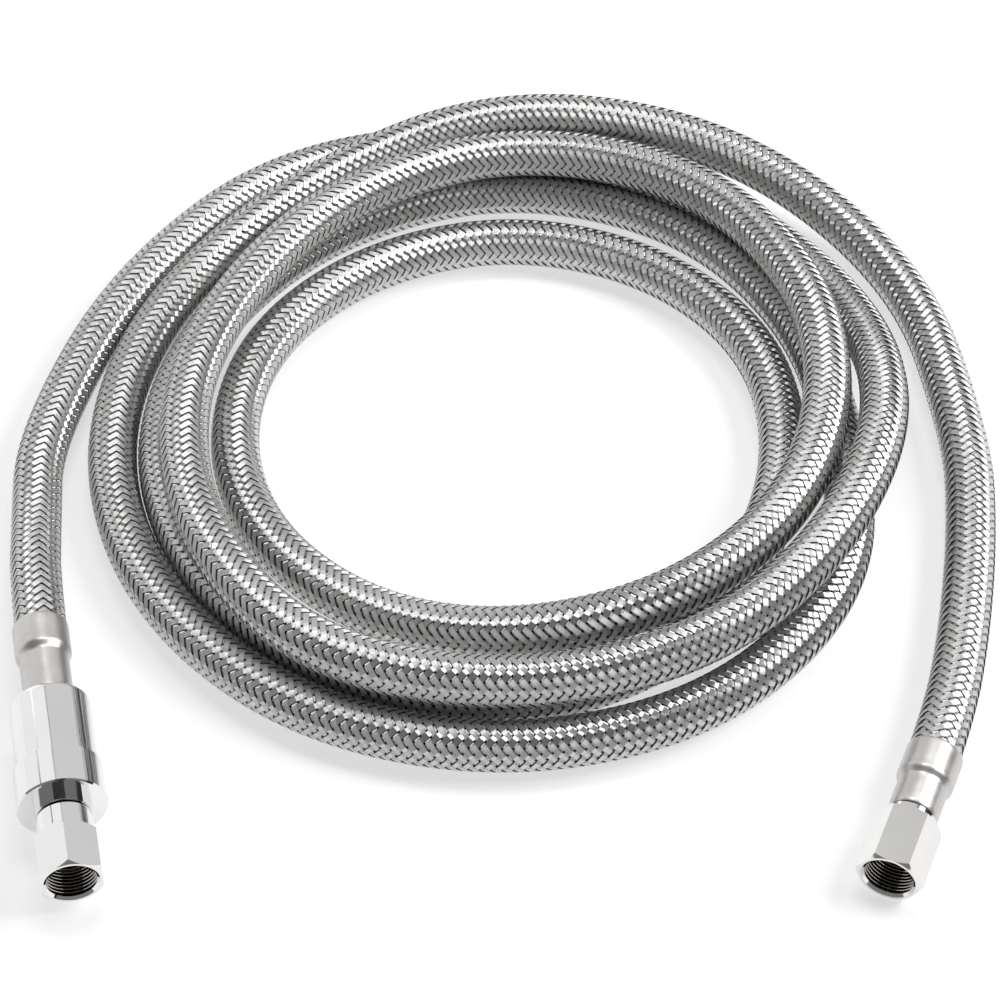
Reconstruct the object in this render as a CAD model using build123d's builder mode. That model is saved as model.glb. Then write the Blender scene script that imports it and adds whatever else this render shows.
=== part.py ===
"""Braided stainless supply line with a shut-off valve on one end, in millimetres, +Z up.

The line lies in a loose flat coil of four and a half turns on the surface z = 0. The origin is on
that surface, under the middle of the whole line. Its inlet end carries an excess-flow valve and
a swivel nut, and its outlet end a swivel nut alone.
"""
import os
from math import cos, pi, radians, sin, tan

from build123d import *

# ---------------------------------------------------------------- driving dimensions
# Hose
hose_od = 14.3
braid_wall = 0.8
braid_to_liner = 0.15       # clearance between the braid and the liner
liner_bore = 8.5
turn_clearance = 0.4        # air between one turn and the turn that it rides on

# Crimped ferrules
ferrule_wall = 0.45
ferrule_over_braid = 0.1    # clearance round the braid
ferrule_over_liner = 0.15   # clearance round the bare liner
ferrule_mouth = 10.5        # length over the braid
ferrule_step = 1.4          # length of the crimped step
ferrule_lip = 1.2           # thickness of the inturned lip
ferrule_edge_round = 0.2
braid_short_of_step = 0.7
liner_short_of_lip = 0.2
inlet_ferrule_length = 26.0
outlet_ferrule_length = 22.0

# Hose barbs and the stems that carry the swivel nuts
barb_start = 3.0            # from the ferrule's mouth to the barb's tip
barb_bore_r = 2.6
barb_tooth = 3.0            # length of one tooth
barb_tooth_count = 5
barb_in_liner = 0.1         # clearance in the liner's bore
barb_tooth_depth = 0.45
neck_r = 4.7
head_r = 6.2
head_thickness = 2.0
seat_spigot_r = 3.9
seat_spigot_length = 2.5
washer_below_spigot = 0.4   # the spigot stands this far out of the washer
washer_tip_wall = 1.0
push_fit = 0.05             # clearance of pieces pushed together

# Swivel nuts, 5/8 inch across flats, 9/16-24 thread
nut_across_flats = 15.875
thread_major = 14.2875
thread_pitch = 25.4 / 24
nut_running = 0.25          # clearance round the neck
nut_end_play = 0.15
thread_start = 1.0          # from the mouth to the first groove
thread_relief = 0.35        # plain bore in front of the washer's spigot
thread_relief_bevel = 0.25
nut_mouth_chamfer = 0.7
nut_corner_chamfer = 0.9
nut_lip_chamfer = 0.5       # edge of the round shoulder
nut_back_cone = 1.6         # length of the cone behind the corners
cutter_beyond = 1.0         # how far the bore's cutter stands out of the nut
inlet_nut_length = 20.9
inlet_nut_wall = 6.0        # wall behind the head
inlet_shoulder_length = 6.4
inlet_shoulder_r = 7.5
outlet_nut_length = 21.0
outlet_nut_wall = 3.6
outlet_shoulder_length = 1.6
outlet_shoulder_r = 7.1
outlet_nut_gap = 0.4        # from the ferrule's end to the nut's back

# Shut-off valve
valve_r = 11.0
valve_edge_round = 1.5
collar_r = 12.0
valve_neck_gap = 2.0        # bare neck between the ferrule and the valve
valve_back_wall = 6.0
valve_body_length = 22.5
valve_bore_r = 8.2
collar_length = 12.0
collar_edge_chamfer = 0.4
boss_r = 7.8
boss_length = 3.0
boss_to_nut = 0.3
joint_gap = 0.1             # fine line between the body and the collar
spigot_length = 4.0
spigot_bore_r = 6.2
spigot_fit = 0.1
collar_waist_r = 4.8
guide_pocket_length = 6.7    # from the spigot's end to the stop behind the guide
tail_socket_r = 5.7
tail_socket_depth = 7.5
tail_bore_r = 3.0
barb_plug_r = 5.0
barb_plug_fit = 0.1
barb_flange_r = 5.6

# Shut-off poppet
poppet_travel = 2.4
seal_stop = 0.1             # left between the seal and the seat when shut
seat_thickness = 2.45
seat_lip_height = 0.4
seat_bore_r = 3.2
seat_lip_r = 4.0
poppet_flange_r = 6.4
poppet_flange_thickness = 1.5
poppet_nose_r = 4.6
poppet_nose_length = 2.6
poppet_stem_r = 1.2
poppet_stem_length = 11.3
poppet_stem_fit = 0.15
button_r = 2.7
button_thickness = 1.0
seal_core_r = 2.0
seal_r = 4.5
seal_thickness = 1.6
spring_wire = 0.7
spring_r = 5.6              # mean radius
spring_turns = 5
spring_seat_gap = 0.05
guide_gap = 0.3             # between the poppet at rest and the guide's hub
guide_hub_r = 2.3
guide_rim_wall = 0.95
guide_rim_thickness = 2.2
guide_fit = 0.05
guide_spoke = 1.6
guide_spoke_count = 3
snap_ring_thickness = 0.9
snap_ring_depth = 0.5
snap_ring_gap = 1.6         # opening of the split ring
groove_clearance = 0.05

# O-rings: cord diameters
body_ring_cord = 0.9
barb_ring_cord = 1.1
tail_ring_cord = 1.15
ring_groove_extra = 0.5     # groove length beyond the cord
body_groove_inset = 0.8     # from the collar's spigot end
barb_groove_inset = 2.0     # from the valve's back
tail_groove_inset = 2.5     # from the socket's floor

# ---------------------------------------------------------------- the route of the hose
floor_level = hose_od / 2
one_up = hose_od + turn_clearance
coil_x = 1.2
coil_y = 12.0
stations_per_turn = 12

# Distance of the route's corner points from the coil's middle, half a turn in each row, walked
# clockwise from the left. The turns are loose, so each has its own size.
corner_radii = [
    138, 136, 144, 136, 127, 122,
    113, 106, 107, 107, 109, 101,
    96, 96, 106, 117, 118, 106,
    95, 90, 88, 82, 79, 81,
    83, 86, 88, 90, 89, 87,
    83, 84, 95, 102, 104, 104,
    105, 105, 110, 116, 113, 104,
    99, 112, 117, 118, 119, 119,
    120, 122, 124, 133, 144, 144,
    135,
]

# Stations that lie on top of other turns, and how far up. The rest lie on the floor.
first_riding = 6
last_riding = 20
lifts = {station: one_up for station in range(first_riding, last_riding + 1)}
lifts.update({21: 6.5, 50: 8.0, 51: 17.5, 52: 10.0})

coil = []
for station, radius in enumerate(corner_radii):
    angle = radians(180 - station * 360 / stations_per_turn)
    height = floor_level + lifts.get(station, 0.0)
    coil.append(Vector(coil_x + radius * cos(angle), coil_y + radius * sin(angle), height))

# Ends: where the ferrules' mouths lie and which way the fittings point
inlet_mouth = Vector(-127.5, -65.1, collar_r)
inlet_heading = -78.5
outlet_mouth = Vector(114.6, -105.7, nut_across_flats / 2)
outlet_heading = -111.9
inlet_run = 16.0            # straight hose behind each ferrule
outlet_run = 12.0


def heading_vector(heading):
    return Vector(cos(radians(heading)), sin(radians(heading)), 0)


def side_plane(mouth, heading):
    """Plane through a fitting's axis: X runs out along the axis, Y is the distance from it."""
    out = heading_vector(heading)
    return Plane(origin=mouth, x_dir=out, z_dir=out.cross(Vector(0, 0, 1)))


inlet_out = heading_vector(inlet_heading)
outlet_out = heading_vector(outlet_heading)
inlet_side = side_plane(inlet_mouth, inlet_heading)
outlet_side = side_plane(outlet_mouth, outlet_heading)
inlet_axis = Axis(inlet_mouth, inlet_out)
outlet_axis = Axis(outlet_mouth, outlet_out)

# Corner points of the two tails, from each ferrule to the coil
inlet_tail = [inlet_mouth - inlet_out * inlet_run, Vector(-133.7, -23.5, floor_level)]
outlet_tail = [
    Vector(133.4, -25.5, floor_level),
    Vector(127.0, -63.5, floor_level),
    outlet_mouth - outlet_out * outlet_run,
]


def corner_arcs(points):
    """Radius at each corner: 0.45 of the shorter run over the tangent of half the turn."""
    radii = []
    for before, corner, after in zip(points, points[1:], points[2:]):
        run_in = corner - before
        run_out = after - corner
        turn = radians(run_in.get_angle(run_out))
        radii.append(0.45 * min(run_in.length, run_out.length) / tan(turn / 2))
    return radii


def tube_along(start, end):
    """Route points of a tube whose ends stand this deep in the two ferrules."""
    first = inlet_mouth + inlet_out * start
    last = outlet_mouth + outlet_out * end
    return [first] + inlet_tail + coil + outlet_tail + [last]


# ---------------------------------------------------------------- worked-out sizes
braid_r = hose_od / 2
braid_inner_r = braid_r - braid_wall
liner_r = braid_inner_r - braid_to_liner
liner_bore_r = liner_bore / 2
barb_r = liner_bore_r - barb_in_liner

braid_depth = ferrule_mouth - braid_short_of_step
inlet_liner_depth = inlet_ferrule_length - ferrule_lip - liner_short_of_lip
outlet_liner_depth = outlet_ferrule_length - ferrule_lip - liner_short_of_lip

valve_back = inlet_ferrule_length + valve_neck_gap
valve_floor = valve_back + valve_back_wall
valve_joint = valve_back + valve_body_length
collar_back = valve_joint + joint_gap
collar_front = collar_back + collar_length
boss_front = collar_front + boss_length
spigot_end = valve_joint - spigot_length
socket_floor = boss_front - tail_socket_depth

seat_front = valve_floor + push_fit + seat_thickness
lip_front = seat_front + seat_lip_height
seal_back = lip_front + poppet_travel + seal_stop
nose_back = seal_back + seal_thickness
flange_back = nose_back + poppet_nose_length
flange_front = flange_back + poppet_flange_thickness
stem_front = flange_front + poppet_stem_length
guide_back = flange_front + guide_gap
collar_stop = spigot_end + guide_pocket_length
guide_front = collar_stop - guide_fit
guide_rim_back = guide_front - guide_rim_thickness

inlet_nut_back = boss_front + boss_to_nut
outlet_nut_back = outlet_ferrule_length + outlet_nut_gap
thread_minor_r = (thread_major - 1.0825 * thread_pitch) / 2
thread_major_r = thread_major / 2
nut_corner_r = nut_across_flats / 2 / cos(radians(30))

os.makedirs("parts", exist_ok=True)


def save(piece, name):
    piece.part.label = name
    export_step(piece.part, "parts/" + name + ".step")


# ---------------------------------------------------------------- hose
# Woven sleeve of stainless wire, and the rubber liner that it holds. Both run from ferrule to
# ferrule, and the liner goes deeper, onto the barbs.
arcs = corner_arcs(tube_along(braid_depth, braid_depth))
for name, outer, inner, start, end in (
    ("braid_sleeve", braid_r, braid_inner_r, braid_depth, braid_depth),
    ("inner_tube", liner_r, liner_bore_r, inlet_liner_depth, outlet_liner_depth),
):
    corners = tube_along(start, end)
    with BuildPart() as tube:
        with BuildLine() as route:
            centreline = FilletPolyline(*corners, radius=arcs)
        with BuildSketch(Plane(origin=centreline @ 0, z_dir=centreline % 0)):
            Circle(outer)
            Circle(inner, mode=Mode.SUBTRACT)
        sweep(path=centreline)
    save(tube, name)
    expected = pi * (outer**2 - inner**2) * centreline.length
    print(name, "length", round(centreline.length, 1), "smallest arc", round(min(arcs), 1))
    print("  arcs", [round(arc) for arc in arcs])
    print("  volume", round(tube.part.volume), "of", round(expected), "from section times length")


# ---------------------------------------------------------------- crimped ferrules
# Stainless shells pressed over the hose. The mouth grips the braid, the step and the narrower
# part grip the bare liner on the barb, and the lip holds the barb in.
ends = (
    ("inlet", inlet_side, inlet_axis, inlet_ferrule_length),
    ("outlet", outlet_side, outlet_axis, outlet_ferrule_length),
)
mouth_inner_r = braid_r + ferrule_over_braid
grip_inner_r = liner_r + ferrule_over_liner
for end, side, axis, length in ends:
    step_end = ferrule_mouth + ferrule_step
    lip_back = length - ferrule_lip
    lip_r = barb_r + barb_in_liner / 2
    with BuildPart() as ferrule:
        with BuildSketch(side):
            with BuildLine():
                Polyline(
                    (0, mouth_inner_r),
                    (0, mouth_inner_r + ferrule_wall),
                    (ferrule_mouth, mouth_inner_r + ferrule_wall),
                    (step_end, grip_inner_r + ferrule_wall),
                    (length, grip_inner_r + ferrule_wall),
                    (length, lip_r),
                    (lip_back, lip_r),
                    (lip_back, grip_inner_r),
                    (step_end, grip_inner_r),
                    (ferrule_mouth, mouth_inner_r),
                    close=True,
                )
            make_face()
        revolve(axis=axis)
        outer_edges = ferrule.edges().filter_by(GeomType.CIRCLE).group_by(SortBy.RADIUS)[-1]
        fillet(outer_edges, ferrule_edge_round)
    save(ferrule, end + "_ferrule")


def barb_teeth(start, length):
    """Outline of the toothed tip, from its end to the lip that traps it."""
    outline = [(start, barb_r - barb_tooth_depth)]
    for tooth in range(barb_tooth_count):
        crest = start + (tooth + 0.9) * barb_tooth
        outline.append((crest, barb_r))
        outline.append((crest + 0.1 * barb_tooth, barb_r - barb_tooth_depth))
    outline[-1] = (outline[-1][0], barb_r)
    return outline + [(length + push_fit, barb_r)]


# ---------------------------------------------------------------- outlet fitting
# One turned stem: barb, neck, head and the spigot that centres the washer.
outlet_head_back = outlet_nut_back + outlet_nut_wall + nut_end_play
outlet_head_front = outlet_head_back + head_thickness
outlet_spigot_front = outlet_head_front + seat_spigot_length
with BuildPart() as outlet_stem:
    with BuildSketch(outlet_side):
        with BuildLine():
            Polyline(
                (barb_start, barb_bore_r),
                *barb_teeth(barb_start, outlet_ferrule_length),
                (outlet_ferrule_length + push_fit, neck_r),
                (outlet_head_back, neck_r),
                (outlet_head_back, head_r),
                (outlet_head_front, head_r),
                (outlet_head_front, seat_spigot_r),
                (outlet_spigot_front, seat_spigot_r),
                (outlet_spigot_front, barb_bore_r),
                close=True,
            )
        make_face()
    revolve(axis=outlet_axis)
save(outlet_stem, "outlet_stem")

# ---------------------------------------------------------------- valve, hose side
# Barb with a flange and a plug that is pushed into the back of the valve's body.
barb_flange_back = inlet_ferrule_length + push_fit
barb_flange_front = valve_back - push_fit
barb_groove_length = barb_ring_cord + ring_groove_extra
barb_groove = valve_back + barb_groove_inset
barb_groove_r = barb_plug_r - barb_ring_cord
with BuildPart() as inlet_barb:
    with BuildSketch(inlet_side):
        with BuildLine():
            Polyline(
                (barb_start, barb_bore_r),
                *barb_teeth(barb_start, inlet_ferrule_length),
                (barb_flange_back, barb_flange_r),
                (barb_flange_front, barb_flange_r),
                (barb_flange_front, barb_plug_r),
                (barb_groove, barb_plug_r),
                (barb_groove, barb_groove_r),
                (barb_groove + barb_groove_length, barb_groove_r),
                (barb_groove + barb_groove_length, barb_plug_r),
                (valve_floor - push_fit, barb_plug_r),
                (valve_floor - push_fit, barb_bore_r),
                close=True,
            )
        make_face()
    revolve(axis=inlet_axis)
save(inlet_barb, "inlet_barb")

# Polished barrel: a cup with a thick back, bored for the plug and for the poppet's chamber.
with BuildPart() as valve_body:
    with BuildSketch(inlet_side):
        with BuildLine():
            Polyline(
                (valve_back, barb_plug_r + barb_plug_fit),
                (valve_back, valve_r),
                (valve_joint, valve_r),
                (valve_joint, valve_bore_r),
                (valve_floor, valve_bore_r),
                (valve_floor, barb_plug_r + barb_plug_fit),
                close=True,
            )
        make_face()
    revolve(axis=inlet_axis)
    barrel_rims = valve_body.edges().filter_by(GeomType.CIRCLE).group_by(SortBy.RADIUS)[-1]
    back_rim = barrel_rims.sort_by(inlet_axis)[0]
    fillet(back_rim, valve_edge_round)
save(valve_body, "valve_body")

# Collar that closes the barrel. Its spigot holds the poppet's guide and its boss the tail.
spigot_r = valve_bore_r - spigot_fit
body_groove_length = body_ring_cord + ring_groove_extra
body_groove = spigot_end + body_groove_inset
body_groove_r = spigot_r - body_ring_cord
snap_back = guide_rim_back - groove_clearance - snap_ring_thickness
snap_groove_r = spigot_bore_r + snap_ring_depth + groove_clearance
with BuildPart() as valve_collar:
    with BuildSketch(inlet_side):
        with BuildLine():
            Polyline(
                (spigot_end, spigot_bore_r),
                (spigot_end, spigot_r),
                (body_groove, spigot_r),
                (body_groove, body_groove_r),
                (body_groove + body_groove_length, body_groove_r),
                (body_groove + body_groove_length, spigot_r),
                (collar_back, spigot_r),
                (collar_back, collar_r),
                (collar_front, collar_r),
                (collar_front, boss_r),
                (boss_front, boss_r),
                (boss_front, tail_socket_r),
                (socket_floor, tail_socket_r),
                (socket_floor, collar_waist_r),
                (collar_stop, collar_waist_r),
                (collar_stop, spigot_bore_r),
                (guide_rim_back, spigot_bore_r),
                (guide_rim_back, snap_groove_r),
                (snap_back - groove_clearance, snap_groove_r),
                (snap_back - groove_clearance, spigot_bore_r),
                close=True,
            )
        make_face()
    revolve(axis=inlet_axis)
    circles = valve_collar.edges().filter_by(GeomType.CIRCLE)
    chamfer(circles.group_by(SortBy.RADIUS)[-1], collar_edge_chamfer)
save(valve_collar, "valve_collar")

# ---------------------------------------------------------------- valve, inside
# Seat: a brass ring against the chamber's floor, with a raised lip that the seal closes on.
seat_back = valve_floor + push_fit
with BuildPart() as valve_seat:
    with BuildSketch(inlet_side):
        with BuildLine():
            Polyline(
                (seat_back, seat_bore_r),
                (seat_back, valve_bore_r - push_fit),
                (seat_front, valve_bore_r - push_fit),
                (seat_front, seat_lip_r),
                (lip_front, seat_lip_r - seat_lip_height / 2),
                (lip_front, seat_bore_r),
                close=True,
            )
        make_face()
    revolve(axis=inlet_axis)
save(valve_seat, "valve_seat")

# Poppet: button and core that carry the seal, nose, flange that the spring pushes, and stem.
button_front = seal_back - push_fit
button_back = button_front - button_thickness
with BuildPart() as poppet:
    with BuildSketch(inlet_side):
        with BuildLine():
            Polyline(
                (button_back, 0),
                (button_back, button_r - button_thickness / 2),
                (button_front, button_r),
                (button_front, seal_core_r),
                (nose_back, seal_core_r),
                (nose_back, poppet_nose_r),
                (flange_back, poppet_nose_r),
                (flange_back, poppet_flange_r),
                (flange_front, poppet_flange_r),
                (flange_front, poppet_stem_r),
                (stem_front, poppet_stem_r),
                (stem_front, 0),
                close=True,
            )
        make_face()
    revolve(axis=inlet_axis)
save(poppet, "poppet")

# Rubber seal, stretched over the button.
with BuildPart() as poppet_seal:
    with BuildSketch(inlet_side):
        with BuildLine():
            Polyline(
                (seal_back, seal_core_r + push_fit),
                (seal_back, seal_r),
                (nose_back - push_fit, seal_r),
                (nose_back - push_fit, seal_core_r + push_fit),
                close=True,
            )
        make_face()
    revolve(axis=inlet_axis)
save(poppet_seal, "poppet_seal")

# Coil spring between the seat and the flange, which holds the valve open.
spring_back = seat_front + spring_seat_gap + spring_wire / 2
spring_front = flange_back - spring_seat_gap - spring_wire / 2
spring_height = spring_front - spring_back
with BuildPart() as poppet_spring:
    with BuildLine():
        coil_line = Helix(
            pitch=spring_height / spring_turns,
            height=spring_height,
            radius=spring_r,
            center=tuple(inlet_mouth + inlet_out * spring_back),
            direction=tuple(inlet_out),
        )
    with BuildSketch(Plane(origin=coil_line @ 0, z_dir=coil_line % 0)):
        Circle(spring_wire / 2)
    sweep(path=coil_line, is_frenet=True)
save(poppet_spring, "poppet_spring")

# Guide: a hub on three spokes in the collar's bore, which steers the poppet's stem.
guide_r = spigot_bore_r - guide_fit
guide_plane = Plane(origin=inlet_mouth + inlet_out * guide_rim_back, z_dir=inlet_out)
with BuildPart() as poppet_guide:
    with BuildSketch(guide_plane):
        Circle(guide_r)
        Circle(guide_r - guide_rim_wall, mode=Mode.SUBTRACT)
    extrude(amount=guide_rim_thickness)
    with BuildSketch(guide_plane):
        with PolarLocations((guide_hub_r + guide_r - guide_rim_wall) / 2, guide_spoke_count):
            Rectangle(guide_r - guide_hub_r, guide_spoke)
    extrude(amount=guide_rim_thickness)
    with BuildSketch(guide_plane.offset(guide_back - guide_rim_back)):
        Circle(guide_hub_r)
    extrude(amount=guide_front - guide_back)
    with BuildSketch(guide_plane.offset(guide_back - guide_rim_back)):
        Circle(poppet_stem_r + poppet_stem_fit)
    extrude(amount=guide_front - guide_back, mode=Mode.SUBTRACT)
save(poppet_guide, "poppet_guide")

# Split snap ring in the groove behind the guide.
with BuildPart() as guide_snap_ring:
    with BuildSketch(Plane(origin=inlet_mouth + inlet_out * snap_back, z_dir=inlet_out)):
        Circle(spigot_bore_r + snap_ring_depth)
        Circle(guide_r - guide_rim_wall, mode=Mode.SUBTRACT)
        with Locations((spigot_bore_r, 0)):
            Rectangle(2 * spigot_bore_r - snap_ring_gap, snap_ring_gap, mode=Mode.SUBTRACT)
    extrude(amount=snap_ring_thickness)
save(guide_snap_ring, "guide_snap_ring")

# ---------------------------------------------------------------- inlet tail
# Brass tail pushed into the boss: O-ring groove, neck, head and the washer's spigot.
inlet_head_back = inlet_nut_back + inlet_nut_wall + nut_end_play
inlet_head_front = inlet_head_back + head_thickness
inlet_spigot_front = inlet_head_front + seat_spigot_length
tail_r = tail_socket_r - push_fit
tail_groove_length = tail_ring_cord + ring_groove_extra
tail_groove = socket_floor + tail_groove_inset
tail_groove_r = tail_r - tail_ring_cord
with BuildPart() as inlet_tail_piece:
    with BuildSketch(inlet_side):
        with BuildLine():
            Polyline(
                (socket_floor + push_fit, tail_bore_r),
                (socket_floor + push_fit, tail_r),
                (tail_groove, tail_r),
                (tail_groove, tail_groove_r),
                (tail_groove + tail_groove_length, tail_groove_r),
                (tail_groove + tail_groove_length, tail_r),
                (boss_front, tail_r),
                (boss_front, neck_r),
                (inlet_head_back, neck_r),
                (inlet_head_back, head_r),
                (inlet_head_front, head_r),
                (inlet_head_front, seat_spigot_r),
                (inlet_spigot_front, seat_spigot_r),
                (inlet_spigot_front, tail_bore_r),
                close=True,
            )
        make_face()
    revolve(axis=inlet_axis)
save(inlet_tail_piece, "inlet_tail_piece")

# ---------------------------------------------------------------- O-rings
# Each ring lies in the middle of its groove, clear of the floor of the groove and of the bore.
rings = (
    ("barb_o_ring", barb_ring_cord, barb_groove + barb_groove_length / 2,
     (barb_groove_r + barb_plug_r + barb_plug_fit) / 2, barb_plug_fit),
    ("body_o_ring", body_ring_cord, body_groove + body_groove_length / 2,
     (body_groove_r + valve_bore_r) / 2, spigot_fit),
    ("tail_o_ring", tail_ring_cord, tail_groove + tail_groove_length / 2,
     (tail_groove_r + tail_socket_r) / 2, push_fit),
)
for name, cord, place, ring_r, fit in rings:
    with BuildPart() as o_ring:
        with BuildSketch(inlet_side):
            with Locations((place, ring_r)):
                Circle((cord - fit / 2) / 2)
        revolve(axis=inlet_axis)
    save(o_ring, name)

# ---------------------------------------------------------------- washers and swivel nuts
# A tapered rubber washer sits round the spigot in front of each head, and a hexagon nut turns
# on each neck behind the head. The thread is cut as rings, so the bore is true between them.
groove_mouth = thread_pitch * 0.75
groove_root = thread_pitch * 0.125
nuts = (
    ("inlet", inlet_side, inlet_axis, inlet_mouth, inlet_out,
     inlet_nut_back, inlet_nut_length, inlet_nut_wall, inlet_shoulder_length, inlet_shoulder_r,
     inlet_head_front, inlet_spigot_front, 0),
    ("outlet", outlet_side, outlet_axis, outlet_mouth, outlet_out,
     outlet_nut_back, outlet_nut_length, outlet_nut_wall, outlet_shoulder_length,
     outlet_shoulder_r, outlet_head_front, outlet_spigot_front, 30),
)
for (end, side, axis, mouth, out, back, length, wall, shoulder, shoulder_r, head, spigot,
     turned) in nuts:
    with BuildPart() as washer:
        with BuildSketch(side):
            with BuildLine():
                Polyline(
                    (head + push_fit, seat_spigot_r + push_fit),
                    (head + push_fit, head_r),
                    (spigot - washer_below_spigot, seat_spigot_r + washer_tip_wall),
                    (spigot - washer_below_spigot, seat_spigot_r + push_fit),
                    close=True,
                )
            make_face()
        revolve(axis=axis)
    save(washer, end + "_cone_washer")

    front = back + length
    thread_back = spigot + thread_relief + thread_relief_bevel
    thread_turns = int((front - thread_start - thread_back) / thread_pitch)
    flats = Plane(origin=mouth + out * (back + shoulder), x_dir=(0, 0, 1), z_dir=out)
    with BuildPart() as nut:
        with BuildSketch(flats):
            RegularPolygon(nut_across_flats / 2, 6, major_radius=False, rotation=turned)
        extrude(amount=length - shoulder)
        with BuildSketch(side):
            with BuildLine():
                Polyline(
                    (back + shoulder, 0),
                    (back + shoulder, shoulder_r),
                    (back + shoulder + nut_back_cone, nut_corner_r + push_fit),
                    (front - nut_corner_chamfer, nut_corner_r + push_fit),
                    (front, nut_across_flats / 2),
                    (front, 0),
                    close=True,
                )
            make_face()
        revolve(axis=axis, mode=Mode.INTERSECT)
        with BuildSketch(side):
            with BuildLine():
                Polyline(
                    (back, 0),
                    (back, shoulder_r - nut_lip_chamfer),
                    (back + nut_lip_chamfer, shoulder_r),
                    (back + shoulder + nut_corner_chamfer, shoulder_r),
                    (back + shoulder + nut_corner_chamfer, 0),
                    close=True,
                )
            make_face()
        revolve(axis=axis)
        bore = [
            (back - cutter_beyond, 0),
            (back - cutter_beyond, neck_r + nut_running),
            (back + wall, neck_r + nut_running),
            (back + wall, thread_major_r),
            (thread_back - thread_relief_bevel, thread_major_r),
            (thread_back, thread_minor_r),
        ]
        for turn in range(thread_turns - 1, -1, -1):
            middle = front - thread_start - (turn + 0.5) * thread_pitch
            bore += [
                (middle - groove_mouth / 2, thread_minor_r),
                (middle - groove_root / 2, thread_major_r),
                (middle + groove_root / 2, thread_major_r),
                (middle + groove_mouth / 2, thread_minor_r),
            ]
        bore += [
            (front - nut_mouth_chamfer, thread_minor_r),
            (front, thread_minor_r + nut_mouth_chamfer),
            (front + cutter_beyond, thread_minor_r + nut_mouth_chamfer),
            (front + cutter_beyond, 0),
        ]
        with BuildSketch(side):
            with BuildLine():
                Polyline(*bore, close=True)
            make_face()
        revolve(axis=axis, mode=Mode.SUBTRACT)
    save(nut, end + "_swivel_nut")
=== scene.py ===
"""Looks of a braided stainless supply line with a shut-off valve on its inlet end.

Everything is in metres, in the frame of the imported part: the line lies in a loose flat coil on
z = 0. The sections follow the line from its liner outwards to the nuts, and end with the studio.
"""

import bpy
import numpy as np
from mathutils import Matrix


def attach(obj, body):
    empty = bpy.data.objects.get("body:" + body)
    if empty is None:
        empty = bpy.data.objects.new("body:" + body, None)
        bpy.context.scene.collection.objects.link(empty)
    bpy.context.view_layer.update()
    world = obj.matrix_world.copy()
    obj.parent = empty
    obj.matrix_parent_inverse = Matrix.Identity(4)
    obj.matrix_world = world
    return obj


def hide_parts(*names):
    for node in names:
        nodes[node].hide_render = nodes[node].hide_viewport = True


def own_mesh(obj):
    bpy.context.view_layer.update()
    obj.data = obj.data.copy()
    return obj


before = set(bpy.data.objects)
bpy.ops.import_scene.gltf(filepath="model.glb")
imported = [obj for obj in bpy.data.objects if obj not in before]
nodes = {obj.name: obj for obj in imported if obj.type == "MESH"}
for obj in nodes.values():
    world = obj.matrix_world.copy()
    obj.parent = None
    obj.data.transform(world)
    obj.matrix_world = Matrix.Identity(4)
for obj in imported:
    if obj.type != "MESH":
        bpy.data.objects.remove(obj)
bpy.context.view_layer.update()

# ---------------------------------------------------------------- liner
# The hose inside the braid: one length of black rubber, pushed on a barb at each end. Its route
# is the line's own: straight out of each ferrule, then four and a half loose turns.
coil_middle = np.array([0.0012, 0.0120])
hose_radius = 0.00715
liner_radius = 0.0063
stations_per_turn = 12
turn_radii = np.array([
    138, 136, 144, 136, 127, 122,
    113, 106, 107, 107, 109, 101,
    96, 96, 106, 117, 118, 106,
    95, 90, 88, 82, 79, 81,
    83, 86, 88, 90, 89, 87,
    83, 84, 95, 102, 104, 104,
    105, 105, 110, 116, 113, 104,
    99, 112, 117, 118, 119, 119,
    120, 122, 124, 133, 144, 144,
    135,
]) * 0.001
turn_lifts = np.zeros(len(turn_radii))
turn_lifts[6:21] = 0.0147
turn_lifts[[21, 50, 51, 52]] = 0.0065, 0.0080, 0.0175, 0.0100
bearing = np.pi - np.arange(len(turn_radii)) * 2 * np.pi / stations_per_turn
turns = np.column_stack([
    coil_middle[0] + turn_radii * np.cos(bearing),
    coil_middle[1] + turn_radii * np.sin(bearing),
    hose_radius + turn_lifts,
])

inlet_mouth = np.array([-0.1275, -0.0651, 0.0120])
outlet_mouth = np.array([0.1146, -0.1057, 0.0079375])
inlet_out = np.array([np.cos(np.radians(-78.5)), np.sin(np.radians(-78.5)), 0])
outlet_out = np.array([np.cos(np.radians(-111.9)), np.sin(np.radians(-111.9)), 0])
inlet_liner_depth = 0.0246
outlet_liner_depth = 0.0206
liner_route = np.vstack([
    inlet_mouth + inlet_out * inlet_liner_depth,
    inlet_mouth - inlet_out * 0.0160,
    [-0.1337, -0.0235, hose_radius],
    turns,
    [0.1334, -0.0255, hose_radius],
    [0.1270, -0.0635, hose_radius],
    outlet_mouth - outlet_out * 0.0120,
    outlet_mouth + outlet_out * outlet_liner_depth,
])


class Signal:
    """A value inside a finish. Arithmetic on it, from either side, adds Math nodes."""

    def __init__(self, finish, socket):
        self.finish, self.socket = finish, socket

    def math(self, operation, *values):
        inputs = dict(enumerate(values))
        return self.finish.node("Math", {"operation": operation}, inputs)

    def __add__(self, other):
        return self.math("ADD", self, other)

    def __sub__(self, other):
        return self.math("SUBTRACT", self, other)

    def __rsub__(self, other):
        return self.math("SUBTRACT", other, self)

    def __mul__(self, other):
        return self.math("MULTIPLY", self, other)

    def __pow__(self, other):
        return self.math("POWER", self, other)

    def __mod__(self, other):
        return self.math("WRAP", self, other, 0.0)

    __radd__ = __add__
    __rmul__ = __mul__


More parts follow.
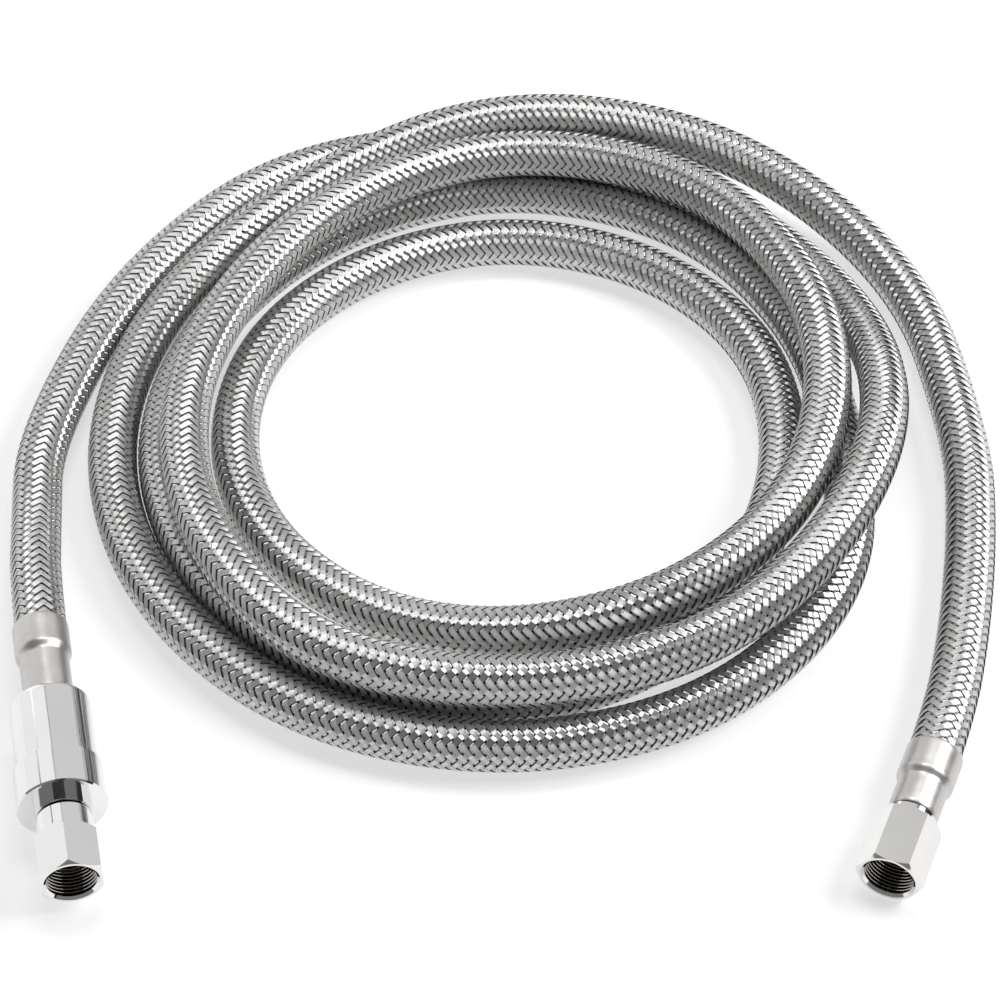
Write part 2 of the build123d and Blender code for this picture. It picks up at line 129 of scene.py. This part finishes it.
class Finish:
    """A material. Its fixed values go on the surface, and node() adds whatever varies."""

    def __init__(self, name, **fixed):
        self.material = bpy.data.materials.new(name)
        self.material.use_nodes = True
        self.tree = self.material.node_tree
        self.surface = self.tree.nodes["Principled BSDF"]
        for socket, value in fixed.items():
            self.feed(self.surface.inputs[socket.replace("_", " ")], value)

    def feed(self, socket, value):
        if isinstance(value, Signal):
            self.tree.links.new(value.socket, socket)
        else:
            socket.default_value = value

    def node(self, kind, settings=None, values=None, result=0):
        """Adds one node, its settings first, then a number or a signal for each socket."""
        made = self.tree.nodes.new("ShaderNode" + kind)
        for key, value in (settings or {}).items():
            setattr(made, key, value)
        for socket, value in (values or {}).items():
            self.feed(made.inputs[socket], value)
        return Signal(self, made.outputs[result])

    def place(self):
        return self.node("TexCoord", result="Object")

    def noise(self, scale, detail=3.0):
        values = {"Vector": self.place(), "Scale": scale, "Detail": detail}
        return self.node("TexNoise", {}, values)

    def rings(self, direction, scale, detail=2.0):
        """Noise that changes only along a direction, as marks round a turned piece do."""
        values = {"W": self.distance_along(direction), "Scale": scale, "Detail": detail}
        return self.node("TexNoise", {"noise_dimensions": "1D"}, values)

    def distance_along(self, direction):
        dot = {0: self.place(), 1: tuple(direction)}
        return self.node("VectorMath", {"operation": "DOT_PRODUCT"}, dot, result="Value")

    def blend(self, share, dark, light):
        return self.node("Mix", {"data_type": "RGBA"}, {0: share, 6: dark, 7: light}, result=2)

    def bumps(self, height, depth):
        return self.node("Bump", {}, {"Height": height, "Strength": 1.0, "Distance": depth})

    def vary(self, **varying):
        for socket, value in varying.items():
            self.feed(self.surface.inputs[socket.replace("_", " ")], value)

    def cover(self, piece):
        if piece.material_slots:
            for held in piece.material_slots:
                held.material = self.material
        else:
            piece.data.materials.append(self.material)


liner_curve = bpy.data.curves.new("hose_liner", "CURVE")
liner_curve.dimensions = "3D"
liner_curve.resolution_u = 48
liner_spline = liner_curve.splines.new("NURBS")
liner_spline.points.add(len(liner_route) - 1)
weights = np.ones((len(liner_route), 1))
liner_spline.points.foreach_set("co", np.hstack([liner_route, weights]).ravel())
liner_spline.order_u = 3
liner_spline.use_endpoint_u = True
hose_liner = bpy.data.objects.new("hose_liner", liner_curve)
bpy.context.scene.collection.objects.link(hose_liner)

# The line that the braid follows is read off before the liner gets its thickness.
bare_line = bpy.data.meshes.new_from_object(hose_liner)
line = np.zeros(len(bare_line.vertices) * 3)
bare_line.vertices.foreach_get("co", line)
line = line.reshape(-1, 3)
bpy.data.meshes.remove(bare_line)
liner_curve.resolution_u = 10
liner_curve.bevel_depth = liner_radius
liner_curve.bevel_resolution = 6
liner_curve.use_fill_caps = True

liner_rubber = Finish("liner_rubber", Roughness=0.62, Specular_IOR_Level=0.35)
grain = liner_rubber.noise(900.0)
liner_rubber.vary(
    Base_Color=liner_rubber.blend(grain, (0.010, 0.010, 0.011, 1), (0.030, 0.030, 0.033, 1)),
    Normal=liner_rubber.bumps(grain, 0.00005),
)
liner_rubber.cover(hose_liner)
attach(hose_liner, "hose_line")
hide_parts("inner_tube")

# ---------------------------------------------------------------- braid
# Twenty-four flat bundles of seven stainless wires, half of them wound each way. Each goes over
# two and under two of the others, which makes the lengthwise rows of chevrons.
bands_each_way = 12
band_lead = 0.0340          # hose length of one turn of a bundle
band_width = 0.00174
band_thickness = 0.00028
band_middle = 0.00683       # radius half way between over and under
band_swing = 0.00016
wires_in_band = 7
band_slope = np.arctan2(2 * np.pi * band_middle, band_lead)     # from the hose's heading
crossing = band_lead / bands_each_way / 2
stations_in_crossing = (0.2, 0.8)
band_crease = 13.0          # degrees, less than the dip between over and under
braid_in_inlet = 0.0098
braid_in_outlet = 0.0098
bands_in_piece = 4


def read_line(distances):
    """Points and unit headings of the hose's line at these distances from its inlet end.

    A point is found by straight interpolation over the length added up along the line, and a
    heading is the rate of change of the line there, made one long.
    """
    steps = np.linalg.norm(np.diff(line, axis=0), axis=1)
    length = np.concatenate([[0], np.cumsum(steps)])
    rate = np.gradient(line, length, axis=0)
    at = np.stack([np.interp(distances, length, line[:, i]) for i in range(3)], 1)
    heading = np.stack([np.interp(distances, length, rate[:, i]) for i in range(3)], 1)
    return at, heading / np.linalg.norm(heading, axis=1, keepdims=True)


line_length = np.linalg.norm(np.diff(line, axis=0), axis=1).sum()
braid_start = inlet_liner_depth - braid_in_inlet
braid_end = line_length - (outlet_liner_depth - braid_in_outlet)
crossings = np.arange(int((braid_end - braid_start) / crossing))
# Two stations at each crossing keep a bundle level there, so that it dips between crossings.
at_crossing = (crossings[:, None] + np.array(stations_in_crossing)).ravel()
counted = np.repeat(crossings, 2)
hose_at, hose_heading = read_line(braid_start + at_crossing * crossing)
hose_side = np.cross(hose_heading, [0, 0, 1])
hose_side /= np.linalg.norm(hose_side, axis=1, keepdims=True)
hose_top = np.cross(hose_side, hose_heading)


def wound_band(number, way):
    """Corner points, one row of four for each station, of one flat bundle.

    The bundle turns round the hose's line by its lead, at a radius that is high over two
    crossings and low over the next two. Its section is a rectangle, level with the hose's skin
    and square to the bundle.
    """
    over = (counted + 2 * number) % 4 < 2
    radius = band_middle + band_swing * np.where(over, way, -way)
    turn = way * (at_crossing - 0.5) * np.pi / bands_each_way + number * 2 * np.pi / bands_each_way
    outward = np.cos(turn)[:, None] * hose_side + np.sin(turn)[:, None] * hose_top
    round_hose = np.cos(turn)[:, None] * hose_top - np.sin(turn)[:, None] * hose_side
    across = np.cos(band_slope) * round_hose - way * np.sin(band_slope) * hose_heading
    corners = [(-0.5, -0.5), (-0.5, 0.5), (0.5, 0.5), (0.5, -0.5)]
    loops = [
        hose_at + outward * (radius + rise * band_thickness)[:, None] + across * side * band_width
        for side, rise in corners
    ]
    return np.stack(loops, 1)


def band_mesh(name, bands):
    """One mesh of several bundles. Between two stations each bundle has four quads, one for each
    side of its section, and its two ends are closed by a quad each. Map places run 0 to 1 across
    the bundle and by the metre along it.
    """
    stations = len(at_crossing)
    points = np.concatenate([wound_band(number, way).reshape(-1, 3) for number, way in bands])
    first = np.arange(stations - 1)[:, None] * 4
    corner = np.arange(4)[None, :]
    nearer = (corner + 1) % 4
    sides = np.stack([first + corner, first + nearer, first + 4 + nearer, first + 4 + corner], -1)
    ends = np.array([[3, 2, 1, 0], [0, 1, 2, 3]]) + np.array([[0], [4 * (stations - 1)]])
    one_band = np.concatenate([sides.reshape(-1, 4), ends])
    quads = np.concatenate([one_band + 4 * stations * i for i in range(len(bands))])
    mesh = bpy.data.meshes.new(name)
    mesh.vertices.add(len(points))
    mesh.vertices.foreach_set("co", points.ravel())
    mesh.loops.add(quads.size)
    mesh.loops.foreach_set("vertex_index", quads.ravel())
    mesh.polygons.add(len(quads))
    mesh.polygons.foreach_set("loop_start", np.arange(len(quads)) * 4)
    mesh.update(calc_edges=True)
    along = np.repeat(at_crossing * crossing, 4)
    across = np.tile([0.0, 0.0, 1.0, 1.0], stations)
    places = np.tile(np.column_stack([across, along]), (len(bands), 1))
    wires = mesh.uv_layers.new(name="wires")
    wires.uv.foreach_set("vector", places[quads.ravel()].ravel())
    mesh.set_sharp_from_angle(angle=np.radians(band_crease))
    return mesh


wound = {1: "right", -1: "left"}
gleam_turn = 0.25 - band_slope / (2 * np.pi)    # share of a circle
most_lean = 0.4             # of a wire's skin at its edge


def drawn_wire(way):
    """Bright drawn wire laid side by side. It gleams across its wires, so each way's bundles
    catch the light from the other side. The shader's own tangent runs round the coil, along the
    hose, and the turn given here brings it square to the wires.
    """
    wire = Finish(f"braid_wire_{wound[way]}", Metallic=1.0, Anisotropic=0.95,
                  Anisotropic_Rotation=gleam_turn if way < 0 else 0.5 - gleam_turn)
    band_place = wire.node("UVMap", {"uv_map": "wires"})
    band_axes = wire.node("SeparateXYZ", {}, {0: band_place})
    # Painted shade: the colour falls to near black at each bundle's two long edges, where shade
    # lies in the gaps between bundles.
    clear_of_edge_shade = 1.0 - (band_axes * 2.0 - 1.0) ** 8.0
    # Each wire's skin leans from one side to the other like the upper part of a round bar.
    wire_lean = ((band_axes * wires_in_band) % 1.0) * (2 * most_lean) - most_lean
    wire_rise = (1.0 - wire_lean * wire_lean) ** 0.5
    wire_normal = wire.node(
        "CombineXYZ", {}, {0: wire_lean * 0.5 + 0.5, 1: 0.5, 2: wire_rise * 0.5 + 0.5}
    )
    # Painted shade in the grooves between neighbouring wires: each wire's colour darkens towards
    # its edges.
    groove_shade = (wire_lean * (1 / most_lean)) ** 4.0
    drawn = wire.noise(140.0, 2.0)
    wire.vary(
        Base_Color=wire.blend(
            clear_of_edge_shade * (1.0 - groove_shade * 0.45) * (drawn * 0.35 + 0.68),
            (0.045, 0.044, 0.043, 1), (0.84, 0.83, 0.82, 1),
        ),
        Roughness=drawn * 0.10 + 0.36,
        Normal=wire.node(
            "NormalMap", {"space": "TANGENT", "uv_map": "wires"},
            {"Strength": 1.0, "Color": wire_normal},
        ),
    )
    return wire


both_ways = [(number, way) for way in (1, -1) for number in range(bands_each_way)]
wire_of_way = {way: drawn_wire(way) for way in (1, -1)}
for first in range(0, len(both_ways), bands_in_piece):
    name = f"braid_bundles_{first // bands_in_piece + 1}"
    piece = bpy.data.objects.new(name, band_mesh(name, both_ways[first:first + bands_in_piece]))
    bpy.context.scene.collection.objects.link(piece)
    wire_of_way[both_ways[first][1]].cover(piece)
    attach(piece, "hose_line")
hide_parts("braid_sleeve")

# ---------------------------------------------------------------- ferrules
# Thin stainless shells, pressed on. The mouth holds the braid, and the narrower end is squeezed
# in eight soft flats on to the barb, with a rounded shoulder between the two.
ferrule_mouth_radius = 0.00770
ferrule_grip_radius = 0.00675
ferrule_flats = 8
ferrule_flat_share = 0.10
ferrule_segments = 128
ferrule_step_at = 0.0098
ferrule_step_length = 0.0025
ferrule_lip = 0.0012
liner_room_radius = 0.00635
braid_room_radius = 0.00725
braid_room_end, liner_room_start = 0.0105, 0.0119


def pressed_shell(name, mouth, out, length, lip_radius):
    """Closed shell round a fitting's axis: a profile of distance and radius, turned round.

    The outside falls from the mouth's radius to the grip's along a smooth step, and the grip is
    drawn in towards a regular polygon by a share that grows from the shoulder and fades at the
    end. The inside follows it one wall further in.
    """
    along_out = np.concatenate([
        [0.0, 0.00010, 0.00030], np.linspace(0.0010, length - 0.0010, 60),
        [length - 0.0004, length - 0.0001, length],
    ])
    step = np.clip((along_out - ferrule_step_at) / ferrule_step_length, 0, 1)
    step = step * step * (3 - 2 * step)
    outside = ferrule_mouth_radius + (ferrule_grip_radius - ferrule_mouth_radius) * step
    outside -= 0.00022 * np.clip(1 - along_out / 0.0003, 0, 1) ** 2
    outside -= 0.00030 * np.clip(1 - (length - along_out) / 0.0010, 0, 1) ** 2
    lip = length - ferrule_lip
    along_in = np.array([length, lip, lip, liner_room_start, braid_room_end, 0.0001])
    inside = np.repeat([lip_radius, liner_room_radius, braid_room_radius], 2)
    along = np.concatenate([along_out, along_in])
    radius = np.concatenate([outside, inside])
    squeezed = np.concatenate([step * np.clip((length - along_out) / 0.002, 0, 1), inside * 0])
    angle = np.arange(ferrule_segments) * 2 * np.pi / ferrule_segments
    part = np.pi / ferrule_flats
    flat = np.cos(part) / np.cos((angle % (2 * part)) - part) / np.cos(part) ** 0.5
    flatten = 1 + ferrule_flat_share * squeezed[:, None] * (flat[None, :] - 1)
    radii = radius[:, None] * flatten
    side = np.cross(out, [0, 0, 1])
    ring = np.cos(angle)[:, None] * side + np.sin(angle)[:, None] * np.array([0, 0, 1])
    points = mouth + along[:, None, None] * out + radii[:, :, None] * ring[None]
    rows, columns = radii.shape
    row = np.arange(rows)[:, None]
    column = np.arange(columns)[None, :]
    ahead, beside = (row + 1) % rows, (column + 1) % columns
    quads = np.stack([
        row * columns + column, row * columns + beside,
        ahead * columns + beside, ahead * columns + column,
    ], -1).reshape(-1, 4)
    mesh = bpy.data.meshes.new(name)
    mesh.from_pydata(points.reshape(-1, 3).tolist(), [], quads.tolist())
    mesh.shade_smooth()
    mesh.set_sharp_from_angle(angle=np.radians(40))
    piece = bpy.data.objects.new(name, mesh)
    bpy.context.scene.collection.objects.link(piece)
    return piece


def satin_steel(name, out):
    """Pressed stainless sheet: fine marks round the axis and a faint warm cloudiness."""
    steel = Finish(name, Metallic=1.0)
    marks = steel.rings(out, 9000.0, 3.0)
    cloud = steel.noise(240.0)
    steel.vary(
        Base_Color=steel.blend(cloud, (0.50, 0.485, 0.475, 1), (0.66, 0.645, 0.63, 1)),
        Roughness=marks * 0.08 + cloud * 0.14 + 0.27,
        Normal=steel.bumps(marks * 0.4 + cloud, 0.00004),
    )
    return steel


inlet_ferrule_length = 0.0260
outlet_ferrule_length = 0.0220
inlet_shell = pressed_shell(
    "inlet_ferrule_shell", inlet_mouth, inlet_out, inlet_ferrule_length, 0.0042
)
outlet_shell = pressed_shell(
    "outlet_ferrule_shell", outlet_mouth, outlet_out, outlet_ferrule_length, 0.0042
)
satin_steel("inlet_ferrule_steel", inlet_out).cover(inlet_shell)
satin_steel("outlet_ferrule_steel", outlet_out).cover(outlet_shell)
for shell, node in ((inlet_shell, "inlet_ferrule"), (outlet_shell, "outlet_ferrule")):
    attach(shell, "hose_line")
    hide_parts(node)

# ---------------------------------------------------------------- valve barrel and collar
# Turned brass, polished and chrome plated. The collar is a little wider than the barrel and
# closes it, and its front face carries the boss.
def plated(name, out, dark, light, roughest):
    """Plating over turned or milled brass: nearly a mirror, with faint marks round the axis."""
    plate = Finish(name, Metallic=1.0)
    haze = plate.noise(60.0)
    marks = plate.rings(out, 6000.0)
    plate.vary(
        Base_Color=plate.blend(haze, dark, light),
        Roughness=haze * roughest + marks * 0.03 + 0.02,
        Normal=plate.bumps(marks, 0.000002),
    )
    return plate


chrome_shades = (0.765, 0.765, 0.765, 1), (0.845, 0.845, 0.845, 1)
chrome = plated("polished_chrome", inlet_out, *chrome_shades, 0.05)
chrome.cover(nodes["valve_body"])
chrome.cover(nodes["valve_collar"])

# ---------------------------------------------------------------- swivel nuts
# Hexagon nuts milled from bar. The inlet's is chrome plated like its valve, the outlet's nickel
# plated, a shade warmer and less sharp. Their bores along and behind the thread are painted dark,
# as painted shade inside the nut.
thread_reach = 0.0074       # from here inwards the bore is painted with shade along the thread
shoulder_reach = 0.0068     # and from here inwards behind it
for name, mouth, out, thread_from, thread_to, plate in (
    ("inlet_swivel_nut", inlet_mouth, inlet_out, 0.0765, 0.0859,
     plated("inlet_nut_chrome", inlet_out, *chrome_shades, 0.05)),
    ("outlet_swivel_nut", outlet_mouth, outlet_out, 0.0305, 0.0425,
     plated("outlet_nut_nickel", outlet_out, (0.72, 0.71, 0.70, 1), (0.82, 0.81, 0.80, 1), 0.12)),
):
    from_mouth = {0: plate.place(), 1: tuple(mouth)}
    spot = plate.node("VectorMath", {"operation": "SUBTRACT"}, from_mouth)
    off_axis = plate.node("VectorMath", {"operation": "CROSS_PRODUCT"}, {0: spot, 1: tuple(out)})
    reach = plate.node("VectorMath", {"operation": "LENGTH"}, {0: off_axis}, result="Value")
    along = plate.node("VectorMath", {"operation": "DOT_PRODUCT"}, {0: spot, 1: tuple(out)},
                       result="Value")
    in_thread = plate.node("Math", {"operation": "GREATER_THAN"}, {0: along, 1: thread_from})
    shaded_bore_radius = in_thread * (thread_reach - shoulder_reach) + shoulder_reach
    inside = plate.node("Math", {"operation": "LESS_THAN"}, {0: reach, 1: shaded_bore_radius})
    behind_mouth = plate.node("Math", {"operation": "LESS_THAN"}, {0: along, 1: thread_to})
    skin = Signal(plate, plate.surface.inputs["Base Color"].links[0].from_socket)
    # Painted shade: inside that radius, along the thread and behind it, the plating's colour gives
    # way to a dark grey.
    plate.vary(Base_Color=plate.blend(inside * behind_mouth, skin, (0.44, 0.42, 0.40, 1)))
    plate.cover(nodes[name])

# ---------------------------------------------------------------- brass stems and seat
# Turned brass: the barbs, the outlet's stem, the inlet's tail and the poppet's seat. Deep in
# the nuts their heads show as a warm ring.
brass = Finish("turned_brass", Metallic=1.0)
tarnish = brass.noise(300.0)
brass.vary(
    Base_Color=brass.blend(tarnish, (0.50, 0.29, 0.10, 1), (0.78, 0.55, 0.26, 1)),
    Roughness=tarnish * 0.15 + 0.22,
    Normal=brass.bumps(tarnish, 0.00001),
)
for name in ("inlet_barb", "outlet_stem", "inlet_tail_piece", "valve_seat"):
    brass.cover(nodes[name])

# ---------------------------------------------------------------- rubber seals
# Moulded black rubber: the O-rings, the cone washers in the nuts and the poppet's seal.
seal_rubber = Finish("seal_rubber", Roughness=0.5, Specular_IOR_Level=0.4)
bloom = seal_rubber.noise(1500.0)
seal_rubber.vary(
    Base_Color=seal_rubber.blend(bloom, (0.012, 0.012, 0.012, 1), (0.045, 0.043, 0.042, 1)),
    Normal=seal_rubber.bumps(bloom, 0.00003),
)
for name in ("barb_o_ring", "body_o_ring", "tail_o_ring", "poppet_seal",
             "inlet_cone_washer", "outlet_cone_washer"):
    seal_rubber.cover(nodes[name])

# ---------------------------------------------------------------- poppet and its guide
# Moulded acetal, off white, with the faint flow marks of moulding.
acetal = Finish("acetal", Roughness=0.38, Specular_IOR_Level=0.5)
flow = acetal.noise(400.0)
acetal.vary(
    Base_Color=acetal.blend(flow, (0.66, 0.65, 0.61, 1), (0.80, 0.79, 0.75, 1)),
    Normal=acetal.bumps(flow, 0.00001),
)
acetal.cover(nodes["poppet"])
acetal.cover(nodes["poppet_guide"])

# ---------------------------------------------------------------- spring and snap ring
# Drawn spring wire, dull grey with fine scratches. The spring stands on the seat at one length,
# though the real one shortens as the poppet closes, and the split ring keeps the guide in.
spring_wire_radius = 0.00035
spring_radius = 0.0056
spring_back, spring_front = 0.0369, 0.0432
spring_turns = 5
wire_corners = 12


def coiled_spring(name):
    """Closed tube along a left-hand helix round the inlet's axis.

    The helix sinks by an angle for each equal step forwards, and the wire's section is a circle
    of points square to it.
    """
    turned_by = np.linspace(0, 2 * np.pi * spring_turns, 40 * spring_turns + 1)[:, None]
    angle = -0.33 - turned_by
    rise = (spring_front - spring_back) / turned_by[-1, 0]
    side, top = np.cross(inlet_out, [0, 0, 1]), np.array([0, 0, 1])
    spoke = np.cos(angle) * side + np.sin(angle) * top
    forwards = spring_radius * (np.sin(angle) * side - np.cos(angle) * top) + rise * inlet_out
    forwards /= np.linalg.norm(forwards, axis=1, keepdims=True)
    lift = np.cross(forwards, spoke)
    middle = inlet_mouth + inlet_out * (spring_back + rise * turned_by) + spoke * spring_radius
    corner_angle = np.arange(wire_corners)[None, :, None] * 2 * np.pi / wire_corners
    section = np.cos(corner_angle) * spoke[:, None] + np.sin(corner_angle) * lift[:, None]
    points = middle[:, None] + section * spring_wire_radius
    row = np.arange(len(points) - 1)[:, None] * wire_corners
    corner = np.arange(wire_corners)[None, :]
    beside = (corner + 1) % wire_corners
    quads = np.stack([
        row + corner, row + beside, row + wire_corners + beside, row + wire_corners + corner,
    ], -1).reshape(-1, 4)
    last = (len(points) - 1) * wire_corners + np.arange(wire_corners)
    ends = [np.arange(wire_corners)[::-1].tolist(), last.tolist()]
    mesh = bpy.data.meshes.new(name)
    mesh.from_pydata(points.reshape(-1, 3).tolist(), [], quads.tolist() + ends)
    mesh.shade_smooth()
    mesh.set_sharp_from_angle(angle=np.radians(50))
    piece = bpy.data.objects.new(name, mesh)
    bpy.context.scene.collection.objects.link(piece)
    return piece


spring_steel = Finish("spring_wire", Metallic=1.0)
scratch = spring_steel.noise(2500.0)
spring_steel.vary(
    Base_Color=spring_steel.blend(scratch, (0.36, 0.36, 0.37, 1), (0.62, 0.62, 0.63, 1)),
    Roughness=scratch * 0.2 + 0.25,
    Normal=spring_steel.bumps(scratch, 0.00001),
)
spring_steel.cover(nodes["guide_snap_ring"])

shut_off_spring = coiled_spring("shut_off_spring")
spring_steel.cover(shut_off_spring)
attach(shut_off_spring, "hose_line")
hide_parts("poppet_spring")
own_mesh(shut_off_spring)

# ---------------------------------------------------------------- studio
# A white floor, a low light wall on the left, tall ones behind with a fine gap between them, a
# lamp on the right and a soft box overhead. Two dark cards, low on the right and above the
# front, draw the chrome's dark bands.
floor_half = 6.0
floor_height = -0.0003
floor_mesh = bpy.data.meshes.new("studio_floor")
floor_mesh.from_pydata([
    (-floor_half, -floor_half, floor_height), (floor_half, -floor_half, floor_height),
    (floor_half, floor_half, floor_height), (-floor_half, floor_half, floor_height),
], [], [(0, 1, 2, 3)])
floor = bpy.data.objects.new("studio_floor", floor_mesh)
bpy.context.scene.collection.objects.link(floor)
floor_paint = Finish("floor_paint", Base_Color=(0.50, 0.50, 0.50, 1), Roughness=0.9,
                     Specular_IOR_Level=0.1, Emission_Color=(1, 1, 1, 1), Emission_Strength=0.57)
floor_paint.cover(floor)


def facing(place, aim):
    """Unit directions of a sheet at place that faces aim: its width and its height."""
    toward = np.array(aim, float) - np.array(place, float)
    width = np.cross(toward, [0, 0, 1])
    width /= np.linalg.norm(width)
    height = np.cross(width, toward)
    return width, height / np.linalg.norm(height)


card_black = Finish("card_black", Base_Color=(0.02, 0.02, 0.02, 1), Roughness=0.9)
for name, place, aim, width, height in (
    ("side_card", (1.45, 0.60, 0.36), (0, 0.60, 0.36), 3.2, 0.72),
    ("front_card", (0.0, -1.05, 1.12), (0, 0, 0), 0.9, 0.6),
):
    across, up = facing(place, aim)
    half = [(-0.5, -0.5), (0.5, -0.5), (0.5, 0.5), (-0.5, 0.5)]
    corners = [tuple(np.array(place) + across * x * width + up * y * height) for x, y in half]
    card_mesh = bpy.data.meshes.new(name)
    card_mesh.from_pydata(corners, [], [(0, 1, 2, 3)])
    card = bpy.data.objects.new(name, card_mesh)
    bpy.context.scene.collection.objects.link(card)
    card_black.cover(card)
    card.visible_camera = False
    card.visible_shadow = False
    card.visible_diffuse = False

for name, place, aim, size, watts in (
    ("left_wall", (-1.30, 0.55, 0.44), (0, 0, 0.29), (2.4, 0.88), 5.3),
    ("left_back_wall", (-1.165, 1.15, 1.20), (-1.165, 0, 1.0), (1.17, 1.4), 4.2),
    ("back_wall", (0.3225, 1.15, 1.10), (0.3225, 0, 0.95), (1.755, 1.6), 4.5),
    ("right_lamp", (1.15, 0.15, 1.15), (0, 0, 0), (0.9, 0.7), 20.0),
    ("top_box", (0.0, 0.46, 1.50), (0, 0, 0), (0.7, 0.36), 6.6),
):
    lamp = bpy.data.lights.new(name, "AREA")
    lamp.shape = "RECTANGLE"
    lamp.size, lamp.size_y = size
    lamp.energy = watts
    across, up = facing(place, aim)
    away = np.cross(across, up)
    box = bpy.data.objects.new(name, lamp)
    bpy.context.scene.collection.objects.link(box)
    turned = np.eye(4)
    turned[:3, 0], turned[:3, 1], turned[:3, 2], turned[:3, 3] = across, up, away, place
    box.matrix_world = Matrix(turned.tolist())

world = bpy.data.worlds.new("studio_air")
bpy.context.scene.world = world
world.use_nodes = True
world.node_tree.nodes["Background"].inputs["Color"].default_value = (1.0, 1.0, 1.0, 1)
world.node_tree.nodes["Background"].inputs["Strength"].default_value = 0.21
bpy.context.scene.view_settings.view_transform = "Standard"

lens = bpy.data.cameras.new("studio_camera")
lens.sensor_width = 36.0
lens.lens = 104.4
lens.clip_start = 0.01
camera = bpy.data.objects.new("studio_camera", lens)
bpy.context.scene.collection.objects.link(camera)
camera.location = (-0.0012, -0.5825, 0.6187)
camera.rotation_euler = (np.radians(43.0), 0.0, 0.0)
bpy.context.scene.camera = camera

bpy.context.view_layer.update()
